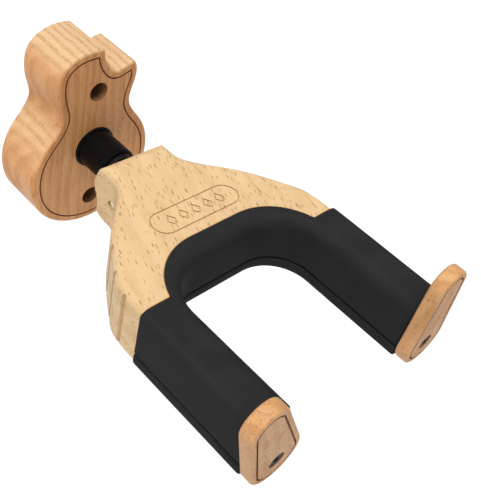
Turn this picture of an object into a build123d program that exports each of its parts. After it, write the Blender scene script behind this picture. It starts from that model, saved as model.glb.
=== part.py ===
from build123d import *
import os
from math import cos, radians, sin

# Wall guitar hanger. Millimetres, +X right as seen by someone facing the wall, +Y into the wall, +Z up.
# The origin is where the swivel axis meets the wall face.

# ---- wall plate ----
PLATE_T = 25.6
PLATE_EDGE_R = 1.6
LOWER_BOUT_X, LOWER_BOUT_Z = 32.6, -12.5
PLATE_BOTTOM_Z = -44.4
WAIST_X, WAIST_Z = 18.6, 20.5
UPPER_BOUT_X, UPPER_BOUT_Z = 21.2, 36.0
HORN_R = 2.0
HORN_TIP = (2.6, 50.8)
HORN_BASE = (19.4, 40.2)
PURFLING_INSET = 3.3
PURFLING_W = 0.8
PURFLING_DEPTH = 0.7
OUTLINE_POINTS = 240
WALL_SCREW_PITCH = 60.0
WALL_SCREW_BORE = 5.2
WALL_SCREW_CBORE = 9.2
WALL_SCREW_CBORE_DEPTH = 15.0

# ---- sleeve that carries the swivel ----
SLEEVE_R = 9.4
SLEEVE_WALL = 1.6
SLEEVE_FRONT_Y = -43.6
SLEEVE_RIM = 0.7
FLANGE_R = 19.0
FLANGE_T = 2.5
FLANGE_SCREW_PCR = 14.2
FLANGE_SCREWS = 3
FLANGE_SCREW_R = 1.6
FLANGE_SCREW_HEAD_R = 3.0
FLANGE_SCREW_LEN = 13.0
FLANGE_SCREW_POINT = 2.0
FLANGE_SCREW_SINK = 1.5
COLLAR_R = 10.4
COLLAR_DEPTH = 4.0
COLLAR_PROUD = 1.0
BUSH_LEN = 9.0
SHAFT_R = 5.0
STUD_R = 3.0
STUD_LEN = 12.0
SHOULDER_R = 7.4
SHOULDER_T = 2.2
NUT_AF = 10.0
NUT_T = 5.0
WASHER_T = 1.0
WASHER_R = 6.4

# ---- yoke ----
YOKE_TOP = 14.7
YOKE_BOTTOM = -15.2
NECK_X = 17.0
NECK_BACK_Y = -48.9
YOKE_TOP_EDGE_R = 3.6
YOKE_BOTTOM_EDGE_R = 2.0
SHOULDER_X = 53.5
HEEL_TOP_Y, HEEL_BOTTOM_Y = -56.6, -63.5
PAD_LINE_Y = -125.5
SADDLE_X = 41.5
SADDLE_BACK_Y = -105.5
SADDLE_CORNER_R = 28.0
ARM_END_Y = -185.2
FLUTE_YS = (-92.0, -103.2, -114.6)
FLUTE_R = 1.5
FLUTE_DEPTH = 0.8
PANEL_Y, PANEL_W, PANEL_H = -94.0, 46.0, 13.0
ENGRAVE_W, ENGRAVE_DEPTH = 0.7, 0.5
LOZENGES = 5

# ---- pads ----
PAD_X = 54.8
PAD_TOP = 15.3
PAD_BOTTOM = -15.7
GAP_X = 35.6
GAP_BACK_Y = -115.0
GAP_CORNER_R = 20.0
PAD_T = 4.0
PAD_EDGE_R = 3.2
PAD_SEAM_Z = -8.6
PAD_SEAM_GAP = 0.4

# ---- tilt and lock ----
PIN_Y, PIN_Z = -61.0, -1.7
PIN_R = 2.5
PIN_RECESS = 1.0
PIN_WASHER_R, PIN_WASHER_T = 5.0, 0.5
TONGUE_X = 4.5
TONGUE_TOP, TONGUE_BOTTOM = 6.0, -8.8
TONGUE_BACK_Y, TONGUE_FRONT_Y = -52.0, -80.0
TONGUE_HEEL_R = 3.0
TILT_MAX = 4.0
FORK_T = 2.5
FORK_W = 7.0
FORK_STEM_X = 6.5
FORK_STEM_BACK_Y, FORK_STEM_FRONT_Y = -66.0, -92.0
FORK_SPLIT_Y = -88.5
FORK_ROUTE = ((30.0, -93.5), (42.6, -110.0), (42.9, -118.5))
FORK_TAB_T = 2.4
FORK_TAB_Y = -118.4
FORK_SLOT_GAP = 0.3
FORK_SCREW_R = 1.5
FORK_SCREW_YS = (-70.0, -76.5)
SPRING_Y = -86.0
SPRING_R = 3.0
SPRING_WIRE_R = 0.45
SPRING_LEN = 9.0
SPRING_TURNS = 5

# ---- gates ----
GATE_X, GATE_Z = 45.0, -4.3
GATE_T = 6.2
GATE_GAP = 0.5
GATE_HUB_R, GATE_TIP_R = 12.0, 8.8
GATE_REACH = 33.0
GATE_EDGE_R = 1.2
GATE_LINE_INSET = 2.4
GATE_OPEN_LEFT, GATE_OPEN_RIGHT = 112.0, 86.0
GATE_SHAFT_R = 2.5
GATE_BUSH_WALL = 0.8
GATE_BUSH_LEN = 7.0
CRANK_PIN_R = 1.3
CRANK_HUB_WALL, CRANK_BOSS_WALL = 1.4, 0.6
CRANK_T = 2.8
CRANK_FRONT_Y = -124.4
CRANK_ROOM_X, CRANK_ROOM_BACK_Y, CRANK_ROOM_TOP = (39.0, 50.2), -115.2, 3.6
STEM_ROOM_TOP = -3.6
GATE_SCREW_HEAD_R = 3.6
GATE_SCREW_HEAD_T = 2.0
GATE_SCREW_SUNK = 0.25
GATE_SCREW_REACH = 4.5
GATE_SCREW_KEY_AF = 2.5
GATE_SCREW_R = 1.3
DRIVE_FLAT = 3.6
DRIVE_DEPTH = 2.4
GATE_WASHER_R = 6.0

# ---- bottom cover ----
COVER_T = 2.4
COVER_OUTLINE = ((10.5, -66.0), (14.5, -74.0), (27.0, -85.0), (36.0, -94.0), (44.5, -107.5),
                 (48.8, -117.0), (48.8, -124.4), (40.8, -124.4), (36.0, -115.0), (25.0, -104.5),
                 (13.0, -100.5))
COVER_SCREWS = ((10.6, -72.5), (-10.6, -72.5), (22.0, -84.6), (-22.0, -84.6), (30.3, -105.2),
                (-30.3, -105.2), (0.0, -96.8))
COVER_SCREW_R = 1.2
COVER_SCREW_HEAD_R = 2.3
COVER_SCREW_LEN = 8.0

# ---- clearances ----
RUN = 0.05
LOOSE = 0.4
EASY = 0.1

CAVITY_FLOOR = YOKE_BOTTOM + COVER_T
FAR_FRONT_Y = ARM_END_Y - 25
FORK_TOP = TONGUE_BOTTOM
FORK_BOTTOM = FORK_TOP - FORK_T
LEVER = PIN_Y - FORK_TAB_Y
CRANK_RISE = LEVER * sin(radians(TILT_MAX)) / 2
CRANK_LEFT_R = CRANK_RISE / sin(radians(GATE_OPEN_LEFT / 2))
CRANK_RIGHT_R = CRANK_RISE / sin(radians(GATE_OPEN_RIGHT / 2))
CRANK_PIN_Z = GATE_Z - CRANK_RISE
GATE_BACK_Y = ARM_END_Y - GATE_GAP
GATE_FRONT_Y = GATE_BACK_Y - GATE_T
SIDES = (("left", -1, GATE_OPEN_LEFT, CRANK_LEFT_R), ("right", 1, GATE_OPEN_RIGHT, CRANK_RIGHT_R))


def cyl_y(radius, y_back, y_front, x=0.0, z=0.0):
    """A cylinder along Y from y_back (nearer the wall) to y_front."""
    middle = (y_back + y_front) / 2
    return Pos(x, middle, z) * Rot(90, 0, 0) * Cylinder(radius, abs(y_back - y_front))


def cone_y(r_back, r_front, y_back, y_front, x=0.0, z=0.0):
    """A cone frustum along Y."""
    middle = (y_back + y_front) / 2
    return Pos(x, middle, z) * Rot(90, 0, 0) * Cone(r_back, r_front, abs(y_back - y_front))


def cyl_z(radius, z_low, z_high, x, y):
    """A cylinder along Z."""
    return Pos(x, y, (z_low + z_high) / 2) * Cylinder(radius, z_high - z_low)


def box(x0, x1, y0, y1, z0, z1):
    """A box given by its limits."""
    middle = ((x0 + x1) / 2, (y0 + y1) / 2, (z0 + z1) / 2)
    return Pos(*middle) * Box(abs(x1 - x0), abs(y1 - y0), abs(z1 - z0))


def prism_y(sketch, y_back, y_front):
    """Extrudes a sketch drawn as (x, z) along Y, from y_back forward to y_front."""
    plane = Plane(origin=(0, y_back, 0), x_dir=(1, 0, 0), z_dir=(0, -1, 0))
    return extrude(plane * sketch, y_back - y_front)


def prism_z(sketch, z_low, z_high):
    """Extrudes a sketch drawn as (x, y) along Z."""
    return extrude(Pos(0, 0, z_low) * sketch, z_high - z_low)


def hexagon_y(across_flats, y_back, y_front, x=0.0, z=0.0):
    """A hexagonal prism along Y."""
    sketch = Pos(x, z) * RegularPolygon(across_flats / 2, 6, major_radius=False)
    return prism_y(sketch, y_back, y_front)


# ------------------------------------------------------------------ wall plate
def plate_outline():
    """A small guitar body with one cutaway, drawn as (x, z)."""
    lower = [(-WAIST_X, WAIST_Z), (-27.0, 6.0), (-LOWER_BOUT_X, LOWER_BOUT_Z), (-25.2, -33.0)]
    mirrored = [(-x, z) for x, z in reversed(lower)]
    bouts = Spline(
        HORN_TIP, (-5.5, 51.2), (-14.0, 49.0), (-19.6, 43.6), (-UPPER_BOUT_X, UPPER_BOUT_Z),
        (-20.2, 28.0), *lower, (0, PLATE_BOTTOM_Z), *mirrored, (20.0, 28.0),
        (UPPER_BOUT_X, UPPER_BOUT_Z), HORN_BASE)
    cutaway = Spline(HORN_BASE, (14.6, 39.6), (9.4, 38.2), (5.6, 40.9), HORN_TIP)
    outline = make_face([bouts, cutaway])
    return fillet(outline.vertices(), HORN_R)


def inset_face(outline, distance):
    """The outline moved inwards, redrawn as two smooth curves that meet at the horn's corners."""
    line = offset(outline, -distance).wires()[0]
    points = [line @ (i / OUTLINE_POINTS) for i in range(OUTLINE_POINTS)]
    places = range(OUTLINE_POINTS)
    tip = min(places, key=lambda i: (points[i] - Vector(*HORN_TIP)).length)
    base = min(places, key=lambda i: (points[i] - Vector(*HORN_BASE)).length)
    curves = []
    for start, end in ((tip, base), (base, tip)):
        span = (end - start) % OUTLINE_POINTS
        steps = max(4, span // 4)
        stops = [points[(start + round(k * span / steps)) % OUTLINE_POINTS] for k in range(steps + 1)]
        curves.append(Spline(*stops))
    return make_face(curves)


def wall_plate():
    """The beech plate: outline, purfling line, wall-screw holes and the seat of the sleeve."""
    outline = plate_outline()
    body = prism_y(outline, 0, -PLATE_T)
    body = fillet(body.faces().sort_by(Axis.Y)[0].edges(), PLATE_EDGE_R)
    ring = inset_face(outline, PURFLING_INSET) - inset_face(outline, PURFLING_INSET + PURFLING_W)
    body -= prism_y(ring, -PLATE_T + PURFLING_DEPTH, -PLATE_T - 1)
    for z in (WALL_SCREW_PITCH / 2, -WALL_SCREW_PITCH / 2):
        body -= cyl_y(WALL_SCREW_BORE / 2, 1, -PLATE_T - 1, z=z)
        body -= cyl_y(WALL_SCREW_CBORE / 2, -PLATE_T + WALL_SCREW_CBORE_DEPTH, -PLATE_T - 1, z=z)
    body -= cyl_y(SLEEVE_R + EASY, 1, -PLATE_T - 1)
    body -= cyl_y(COLLAR_R + EASY, -PLATE_T + COLLAR_DEPTH, -PLATE_T - 1)
    body -= cyl_y(FLANGE_R + EASY, 1, -FLANGE_T - EASY)
    for x, z in flange_screw_places():
        body -= cyl_y(FLANGE_SCREW_R, 1, -FLANGE_SCREW_LEN - 0.5, x, z)
    return body


def flange_screw_places():
    """(x, z) of the screws that hold the sleeve's flange to the back of the plate."""
    turns = [90 + i * 360 / FLANGE_SCREWS for i in range(FLANGE_SCREWS)]
    return [(FLANGE_SCREW_PCR * cos(radians(a)), FLANGE_SCREW_PCR * sin(radians(a))) for a in turns]


def mount_sleeve():
    """The black steel tube with its flange let into the back of the plate."""
    body = cyl_y(SLEEVE_R, 0, SLEEVE_FRONT_Y) + cyl_y(FLANGE_R, 0, -FLANGE_T)
    rim = body.faces().sort_by(Axis.Y)[0].edges()
    body = chamfer(rim, SLEEVE_RIM)
    body -= cyl_y(SLEEVE_R - SLEEVE_WALL, 1, SLEEVE_FRONT_Y - 1)
    for x, z in flange_screw_places():
        body -= cyl_y(FLANGE_SCREW_R + EASY, 1, -FLANGE_T - 1, x, z)
        body -= cone_y(FLANGE_SCREW_HEAD_R + EASY, FLANGE_SCREW_R + EASY, 0, -FLANGE_SCREW_SINK, x, z)
    return body


def collar_ring():
    """The ring that closes the plate's bore around the tube."""
    front = -PLATE_T - COLLAR_PROUD
    body = cyl_y(COLLAR_R, -PLATE_T + COLLAR_DEPTH, front)
    body = chamfer(body.faces().sort_by(Axis.Y)[0].edges(), 0.4)
    return body - cyl_y(SLEEVE_R + RUN, 0, front - 1)


def flange_screws():
    """Countersunk wood screws through the sleeve's flange."""
    screws = []
    for x, z in flange_screw_places():
        neck_y = RUN - FLANGE_SCREW_SINK
        point_y = FLANGE_SCREW_POINT - FLANGE_SCREW_LEN
        screw = cone_y(FLANGE_SCREW_HEAD_R, FLANGE_SCREW_R, -RUN, neck_y, x, z)
        screw += cyl_y(FLANGE_SCREW_R, neck_y, point_y, x, z)
        screw += cone_y(FLANGE_SCREW_R, 0.4, point_y, -FLANGE_SCREW_LEN, x, z)
        screw -= box(x - 1.8, x + 1.8, -0.8, 1, z - 0.3, z + 0.3)
        screw -= box(x - 0.3, x + 0.3, -0.8, 1, z - 1.8, z + 1.8)
        screws.append(screw)
    return Compound(children=screws)


def sleeve_bush(y_outer, direction):
    """A plain bush in one end of the sleeve; direction is +1 when it enters towards the wall."""
    y_end = y_outer + direction * BUSH_LEN
    body = cyl_y(SLEEVE_R - SLEEVE_WALL, max(y_outer, y_end), min(y_outer, y_end))
    return body - cyl_y(SHAFT_R + RUN, 10, SLEEVE_FRONT_Y - 10)


REAR_BUSH_Y = -STUD_LEN - 4.0
FRONT_BUSH_Y = SLEEVE_FRONT_Y + 0.6


# ------------------------------------------------------------------ swivel
def swivel_shaft():
    """The shaft that turns in the sleeve: stud, journal, shoulder and flat tongue with the pin hole."""
    shoulder_back = SLEEVE_FRONT_Y - 0.1
    shoulder_front = shoulder_back - SHOULDER_T
    journal_back = REAR_BUSH_Y + 0.5
    body = cyl_y(SHAFT_R, journal_back, shoulder_back - 12)
    body += cyl_y(STUD_R, journal_back + STUD_LEN, journal_back)
    body += cyl_y(SHOULDER_R, shoulder_back, shoulder_front)
    tongue = box(-TONGUE_X, TONGUE_X, TONGUE_BACK_Y, TONGUE_FRONT_Y, TONGUE_BOTTOM, TONGUE_TOP)
    rear_edges = tongue.faces().sort_by(Axis.Y)[-1].edges().filter_by(Axis.X)
    tongue = fillet(rear_edges, TONGUE_HEEL_R)
    body += tongue
    body -= Pos(0, PIN_Y, PIN_Z) * Rot(0, 90, 0) * Cylinder(PIN_R + RUN, 20)
    for y in FORK_SCREW_YS:
        body -= cyl_z(FORK_SCREW_R, TONGUE_BOTTOM - 1, TONGUE_BOTTOM + 7, 0, y)
    return body


def thrust_washer():
    """Flat washer between the rear bush and the wave washer."""
    y = REAR_BUSH_Y + RUN
    return cyl_y(WASHER_R, y + 0.5 + WASHER_T, y + 0.5) - cyl_y(STUD_R + EASY, 5, -30)


def wave_washer():
    """Wave washer that gives the swivel its drag; a plain ring of its working height."""
    y = REAR_BUSH_Y + RUN + 0.5 + WASHER_T
    return cyl_y(WASHER_R - 0.6, y + 1.2, y) - cyl_y(STUD_R + EASY, 5, -30)


def lock_nut():
    """Self-locking nut on the stud."""
    y = REAR_BUSH_Y + RUN + 0.5 + WASHER_T + 1.2
    body = hexagon_y(NUT_AF, y + NUT_T, y) & cone_y(NUT_AF * 0.5, NUT_AF * 0.62, y + NUT_T, y)
    body += cyl_y(NUT_AF * 0.45, y + NUT_T + 1.2, y + NUT_T - 0.2)
    return body - cyl_y(STUD_R, 5, -30)


def slot_between(start, end, width):
    """A round-ended strip in plan, from one point to another."""
    (x0, y0), (x1, y1) = start, end
    length = ((x1 - x0) ** 2 + (y1 - y0) ** 2) ** 0.5
    turn = Vector(1, 0, 0).get_signed_angle(Vector(x1 - x0, y1 - y0, 0), Vector(0, 0, 1))
    middle = Location(((x0 + x1) / 2, (y0 + y1) / 2, 0), (0, 0, 1), turn)
    return SlotCenterToCenter(length, width).moved(middle)


def fork_arm(side):
    """Plan of one finger of the lock fork, from the stem to its tab."""
    points = [(0, FORK_SPLIT_Y)] + [(side * x, y) for x, y in FORK_ROUTE]
    strip = Sketch()
    for (x0, y0), (x1, y1) in zip(points, points[1:]):
        strip += slot_between((x0, y0), (x1, y1), FORK_W)
    return strip


def lock_fork():
    """Pressed steel fork fixed under the tongue; its tabs turn the two cranks when the yoke tilts."""
    stem_length = FORK_STEM_BACK_Y - FORK_STEM_FRONT_Y
    stem = Pos(0, FORK_STEM_BACK_Y - stem_length / 2) * Rectangle(2 * FORK_STEM_X, stem_length)
    plan = stem + fork_arm(-1) + fork_arm(1)
    y_front = FORK_TAB_Y - FORK_TAB_T / 2
    body = prism_z(plan, FORK_BOTTOM, FORK_TOP)
    body -= box(-60, 60, y_front, y_front - 10, FORK_BOTTOM - 1, FORK_TOP + 1)
    slot_half = CRANK_PIN_R + FORK_SLOT_GAP
    for _, side, opening, crank_r in SIDES:
        outer = GATE_X + crank_r + CRANK_PIN_R - 0.4
        inner = GATE_X - 5.2
        tab = box(side * inner, side * outer, y_front + FORK_TAB_T, y_front,
                  FORK_BOTTOM, CRANK_PIN_Z + slot_half + 1.8)
        slot_start = GATE_X + crank_r * cos(radians(opening / 2)) - CRANK_PIN_R - 0.5
        tab -= box(side * slot_start, side * (outer + 1), y_front + FORK_TAB_T + 1, y_front - 1,
                   CRANK_PIN_Z - slot_half, CRANK_PIN_Z + slot_half)
        body += tab
    for y in FORK_SCREW_YS:
        body -= cyl_z(FORK_SCREW_R + EASY, FORK_BOTTOM - 1, FORK_TOP + 1, 0, y)
        body -= Pos(0, y, FORK_BOTTOM + 0.7) * Cone(FORK_SCREW_R * 2 + EASY, FORK_SCREW_R + EASY, 1.4)
    return body


def fork_screws():
    """Two countersunk screws that hold the fork to the tongue."""
    screws = []
    for y in FORK_SCREW_YS:
        screw = Pos(0, y, FORK_BOTTOM + 0.7) * Cone(FORK_SCREW_R * 2, FORK_SCREW_R, 1.4)
        screw += cyl_z(FORK_SCREW_R, FORK_BOTTOM + 1.3, TONGUE_BOTTOM + 6.5, 0, y)
        screw -= cyl_z(0.9, FORK_BOTTOM - 1, FORK_BOTTOM + 0.9, 0, y)
        screws.append(screw)
    return Compound(children=screws)


# ------------------------------------------------------------------ yoke
def yoke_plan():
    """Plan of the yoke's wood, from the neck to the shoulders."""
    sides = []
    for side in (1, -1):
        flare = Spline(
            (side * NECK_X, -59.5), (side * 20.3, -68.0), (side * 35.0, -83.2), (side * 49.2, -104.0),
            (side * SHOULDER_X, PAD_LINE_Y), tangents=((0, -1), (0, -1)))
        sides.append(flare)
        sides.append(Line((side * NECK_X, NECK_BACK_Y + 2), (side * NECK_X, -59.5)))
    sides.append(Line((-NECK_X, NECK_BACK_Y + 2), (NECK_X, NECK_BACK_Y + 2)))
    sides.append(Line((-SHOULDER_X, PAD_LINE_Y), (SHOULDER_X, PAD_LINE_Y)))
    return make_face(sides)


def neck_profile():
    """Side view (y, z) of the yoke: full height forward, rounded heel at the back."""
    top = YOKE_TOP + 1
    heel = Spline(
        (HEEL_TOP_Y, YOKE_TOP), (-50.2, 9.0), (NECK_BACK_Y, 2.0), (-51.8, -7.0),
        (HEEL_BOTTOM_Y, YOKE_BOTTOM),
        tangents=((1, -0.05), (-1, -0.16)))
    return make_face([
        heel, Line((HEEL_BOTTOM_Y, YOKE_BOTTOM), (FAR_FRONT_Y, YOKE_BOTTOM)),
        Line((FAR_FRONT_Y, YOKE_BOTTOM), (FAR_FRONT_Y, top)),
        Line((FAR_FRONT_Y, top), (HEEL_TOP_Y, top)), Line((HEEL_TOP_Y, top), (HEEL_TOP_Y, YOKE_TOP))])


def saddle(half_width, back_y, corner_r, front_y=FAR_FRONT_Y):
    """Plan of a slot that is open to the front, with two round corners at its back."""
    slot = Pos(0, (back_y + front_y) / 2) * Rectangle(2 * half_width, back_y - front_y)
    corners = slot.vertices().sort_by(Axis.Y)[-2:]
    return fillet(corners, corner_r)


def arm_plan(outer_x, back_x, back_y, back_r, gap_x, gap_y, gap_r):
    """Plan of a U that wraps the gap: two arms and the round bight between them."""
    arms = Pos(0, (PAD_LINE_Y + ARM_END_Y) / 2) * Rectangle(2 * outer_x, PAD_LINE_Y - ARM_END_Y)
    bight = saddle(back_x, back_y, back_r, ARM_END_Y)
    return arms + bight - saddle(gap_x, gap_y, gap_r)


def arm_core():
    """The wood that runs forward inside the pads."""
    plan = arm_plan(PAD_X - PAD_T, SADDLE_X + 1, SADDLE_BACK_Y + 1, SADDLE_CORNER_R,
                    GAP_X + PAD_T, GAP_BACK_Y + PAD_T, GAP_CORNER_R + PAD_T)
    return prism_z(plan, PAD_BOTTOM + PAD_T, PAD_TOP - PAD_T)


def pad_envelope():
    """The space of both pads and the wood inside them."""
    plan = arm_plan(PAD_X, SADDLE_X, SADDLE_BACK_Y, SADDLE_CORNER_R, GAP_X, GAP_BACK_Y, GAP_CORNER_R)
    return prism_z(plan, PAD_BOTTOM, PAD_TOP)


def cavity():
    """The space inside the yoke for tongue, fork, spring and cranks."""
    fork_space = FORK_W + 2 * LOOSE + 0.6
    ceiling = TONGUE_TOP + 1.6
    space = box(-TONGUE_X - 0.6, TONGUE_X + 0.6, NECK_BACK_Y + 3, TONGUE_FRONT_Y - 1.2,
                CAVITY_FLOOR - 5, ceiling)
    space += box(-FORK_STEM_X - 2 * LOOSE, FORK_STEM_X + 2 * LOOSE, FORK_STEM_BACK_Y + 2 * LOOSE,
                 FORK_STEM_FRONT_Y - 4 * LOOSE, CAVITY_FLOOR - 5, STEM_ROOM_TOP)
    for side in (-1, 1):
        points = [(0, FORK_SPLIT_Y)] + [(side * x, y) for x, y in FORK_ROUTE]
        for (x0, y0), (x1, y1) in zip(points, points[1:]):
            rise = (PIN_Y - y1) * sin(radians(TILT_MAX)) + LOOSE
            slot = slot_between((x0, y0), (x1, y1), fork_space)
            space += prism_z(slot, CAVITY_FLOOR - 0.2, FORK_TOP + rise)
        inner, outer = CRANK_ROOM_X
        space += box(side * inner, side * outer, CRANK_ROOM_BACK_Y, CRANK_FRONT_Y - 0.2,
                     CAVITY_FLOOR - 0.2, CRANK_ROOM_TOP)
    return space


def cover_plan(gap=0.0):
    """Plan of the bottom cover; gap grows it for the seat in the yoke."""
    half = list(COVER_OUTLINE)
    other = [(-x, y) for x, y in reversed(half)]
    plan = make_face(Polyline(*half, *other, close=True))
    plan = fillet(plan.vertices(), 1.4)
    return offset(plan, gap) if gap else plan


def engraving():
    """A plain stadium frame with a row of lozenges, cut into the top of the yoke."""
    frame = SlotOverall(PANEL_W, PANEL_H) - SlotOverall(PANEL_W - 2 * ENGRAVE_W, PANEL_H - 2 * ENGRAVE_W)
    motif = Sketch() + frame
    pitch = (PANEL_W - PANEL_H) / LOZENGES
    for i in range(LOZENGES):
        x = (i - (LOZENGES - 1) / 2) * pitch
        big = make_face(Polyline((x - 2.4, 0), (x, 3.4), (x + 2.4, 0), (x, -3.4), close=True))
        motif += big - offset(big, -ENGRAVE_W)
    return prism_z(Pos(0, PANEL_Y) * motif, YOKE_TOP - ENGRAVE_DEPTH, YOKE_TOP + 1)


def flutes():
    """Three upright round grooves on each shoulder."""
    edge = yoke_plan()
    cuts = Part()
    for y in FLUTE_YS:
        line = edge & Line((-90, y), (90, y))
        x = max(v.X for v in line.vertices())
        for side in (-1, 1):
            cuts += cyl_z(FLUTE_R, YOKE_BOTTOM - 1, YOKE_TOP + 1, side * (x + FLUTE_R - FLUTE_DEPTH), y)
    return cuts


def yoke_body():
    """The beech yoke with its neck, shoulders, arm cores and hidden cavity."""
    body = prism_z(yoke_plan(), YOKE_BOTTOM, YOKE_TOP)
    for face, radius in ((-1, YOKE_TOP_EDGE_R), (0, YOKE_BOTTOM_EDGE_R)):
        edges = body.faces().sort_by(Axis.Z)[face].edges()
        body = fillet(edges.filter_by(lambda e: not on_pad_line(e)), radius)
    heel = extrude(Plane.YZ * neck_profile(), 100, both=True)
    body = body & heel
    body -= flutes()
    body -= engraving()
    body -= pad_envelope()
    body -= prism_z(saddle(GAP_X, GAP_BACK_Y, GAP_CORNER_R), YOKE_BOTTOM - 1, YOKE_TOP + 1)
    body += arm_core()
    body -= cavity()
    body -= cyl_y(SHAFT_R + 1.3, NECK_BACK_Y + 3, -56)
    body -= prism_z(cover_plan(EASY), YOKE_BOTTOM - 1, CAVITY_FLOOR)
    body -= Pos(0, PIN_Y, PIN_Z) * Rot(0, 90, 0) * Cylinder(PIN_R, 60)
    body -= cyl_z(SPRING_R + 1.0, -5, spring_top(), 0, SPRING_Y)
    for x, y in COVER_SCREWS:
        body -= cyl_z(COVER_SCREW_R, YOKE_BOTTOM, YOKE_BOTTOM + COVER_SCREW_LEN + 0.4, x, y)
    for side in (-1, 1):
        x = side * GATE_X
        body -= cyl_y(GATE_SHAFT_R + LOOSE, CRANK_ROOM_BACK_Y - 4.8, ARM_END_Y - 1, x, GATE_Z)
        for y in (CRANK_FRONT_Y - 0.2, ARM_END_Y + GATE_BUSH_LEN):
            body -= cyl_y(GATE_SHAFT_R + RUN + GATE_BUSH_WALL, y, y - GATE_BUSH_LEN, x, GATE_Z)
    return body


def on_pad_line(edge):
    """True for the straight edge where wood meets pad."""
    box_ = edge.bounding_box()
    return abs(box_.min.Y - PAD_LINE_Y) < 0.01 and abs(box_.max.Y - PAD_LINE_Y) < 0.01


def spring_top():
    """Height of the spring's upper seat inside the yoke."""
    return FORK_TOP + SPRING_LEN


def return_spring():
    """Compression spring that lifts the empty yoke off the fork."""
    low = FORK_TOP + 0.05
    pitch = (SPRING_LEN - 0.1 - 2 * SPRING_WIRE_R) / SPRING_TURNS
    path = Pos(0, SPRING_Y, low + SPRING_WIRE_R) * Helix(pitch, pitch * SPRING_TURNS, SPRING_R)
    profile = Plane(origin=path @ 0, z_dir=path % 0) * Circle(SPRING_WIRE_R)
    return sweep(profile, path, is_frenet=True)


def pivot_pin():
    """The polished cross pin that the yoke tilts on."""
    half = NECK_X - PIN_RECESS
    body = Rot(0, 90, 0) * Cylinder(PIN_R, 2 * half)
    return Pos(0, PIN_Y, PIN_Z) * chamfer(body.edges().filter_by(GeomType.CIRCLE), 0.4)


def pivot_washers():
    """Thin washers on the pin, one each side of the tongue."""
    rings = []
    for side in (-1, 1):
        x = side * (TONGUE_X + 0.3)
        ring = Rot(0, 90, 0) * (Cylinder(PIN_WASHER_R, PIN_WASHER_T) - Cylinder(PIN_R + RUN, 2))
        rings.append(Pos(x, PIN_Y, PIN_Z) * ring)
    return Compound(children=rings)


def pads():
    """Upper and lower pad, split by the seam."""
    body = pad_envelope()
    rims = []
    for face in (body.faces().sort_by(Axis.Z)[-1], body.faces().sort_by(Axis.Z)[0]):
        rims += [e for e in face.edges() if is_pad_rim(e)]
    body = fillet(rims, PAD_EDGE_R)
    body -= arm_core()
    upper = body & box(-80, 80, 0, FAR_FRONT_Y, PAD_SEAM_Z + PAD_SEAM_GAP / 2, PAD_TOP + 1)
    lower = body & box(-80, 80, 0, FAR_FRONT_Y, PAD_BOTTOM - 1, PAD_SEAM_Z - PAD_SEAM_GAP / 2)
    return upper, lower


def is_pad_rim(edge):
    """True for the long outer edges and for the edges around the gap."""
    middle = edge @ 0.5
    outer = abs(abs(middle.X) - PAD_X) < 0.01
    gap = abs(middle.X) < GAP_X + 0.01 and middle.Y < GAP_BACK_Y + 0.01 and middle.Y > ARM_END_Y + 1
    return outer or gap


def bottom_cover():
    """The thin wooden cover over the cavity."""
    body = prism_z(cover_plan(), YOKE_BOTTOM, CAVITY_FLOOR)
    for x, y in COVER_SCREWS:
        body -= cyl_z(COVER_SCREW_R + EASY, YOKE_BOTTOM - 1, CAVITY_FLOOR + 1, x, y)
        body -= Pos(x, y, YOKE_BOTTOM + 0.6) * Cone(COVER_SCREW_HEAD_R + EASY, COVER_SCREW_R + EASY, 1.2)
    return body


def cover_screws():
    """Small countersunk screws of the bottom cover."""
    screws = []
    for x, y in COVER_SCREWS:
        screw = Pos(x, y, YOKE_BOTTOM + 0.65) * Cone(COVER_SCREW_HEAD_R, COVER_SCREW_R, 1.2)
        screw += cyl_z(COVER_SCREW_R, YOKE_BOTTOM + 1.2, YOKE_BOTTOM + COVER_SCREW_LEN, x, y)
        screw -= box(x - 1.4, x + 1.4, y - 0.25, y + 0.25, YOKE_BOTTOM - 1, YOKE_BOTTOM + 0.7)
        screw -= box(x - 0.25, x + 0.25, y - 1.4, y + 1.4, YOKE_BOTTOM - 1, YOKE_BOTTOM + 0.7)
        screws.append(screw)
    return Compound(children=screws)


def gate_bushes(y_back):
    """The plain bushes of both gate shafts at one end of the arms."""
    rings = []
    for side in (-1, 1):
        x, bore = side * GATE_X, GATE_SHAFT_R + RUN
        outer = cyl_y(bore + GATE_BUSH_WALL, y_back, y_back - GATE_BUSH_LEN, x, GATE_Z)
        rings.append(outer - cyl_y(bore, 0, FAR_FRONT_Y, x, GATE_Z))
    return Compound(children=rings)


# ------------------------------------------------------------------ gates
def gate_plan(inset=0.0):
    """A closed gate seen from the front, as (x, z) from its pivot, pointing along +X."""
    hub = GATE_HUB_R - inset
    tip = GATE_TIP_R - inset
    lean = (hub - tip) / GATE_REACH
    rise = (1 - lean ** 2) ** 0.5
    web = make_face(Polyline(
        (hub * lean, hub * rise), (GATE_REACH + tip * lean, tip * rise),
        (GATE_REACH + tip * lean, -tip * rise), (hub * lean, -hub * rise), close=True))
    return web + Circle(hub) + Pos(GATE_REACH, 0) * Circle(tip)


def at_gate(side, opening, sketch):
    """Turns a closed-gate sketch to its open place on one side."""
    turn = opening if side < 0 else 180 - opening
    return Pos(side * GATE_X, GATE_Z) * Rot(0, 0, turn) * sketch


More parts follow.
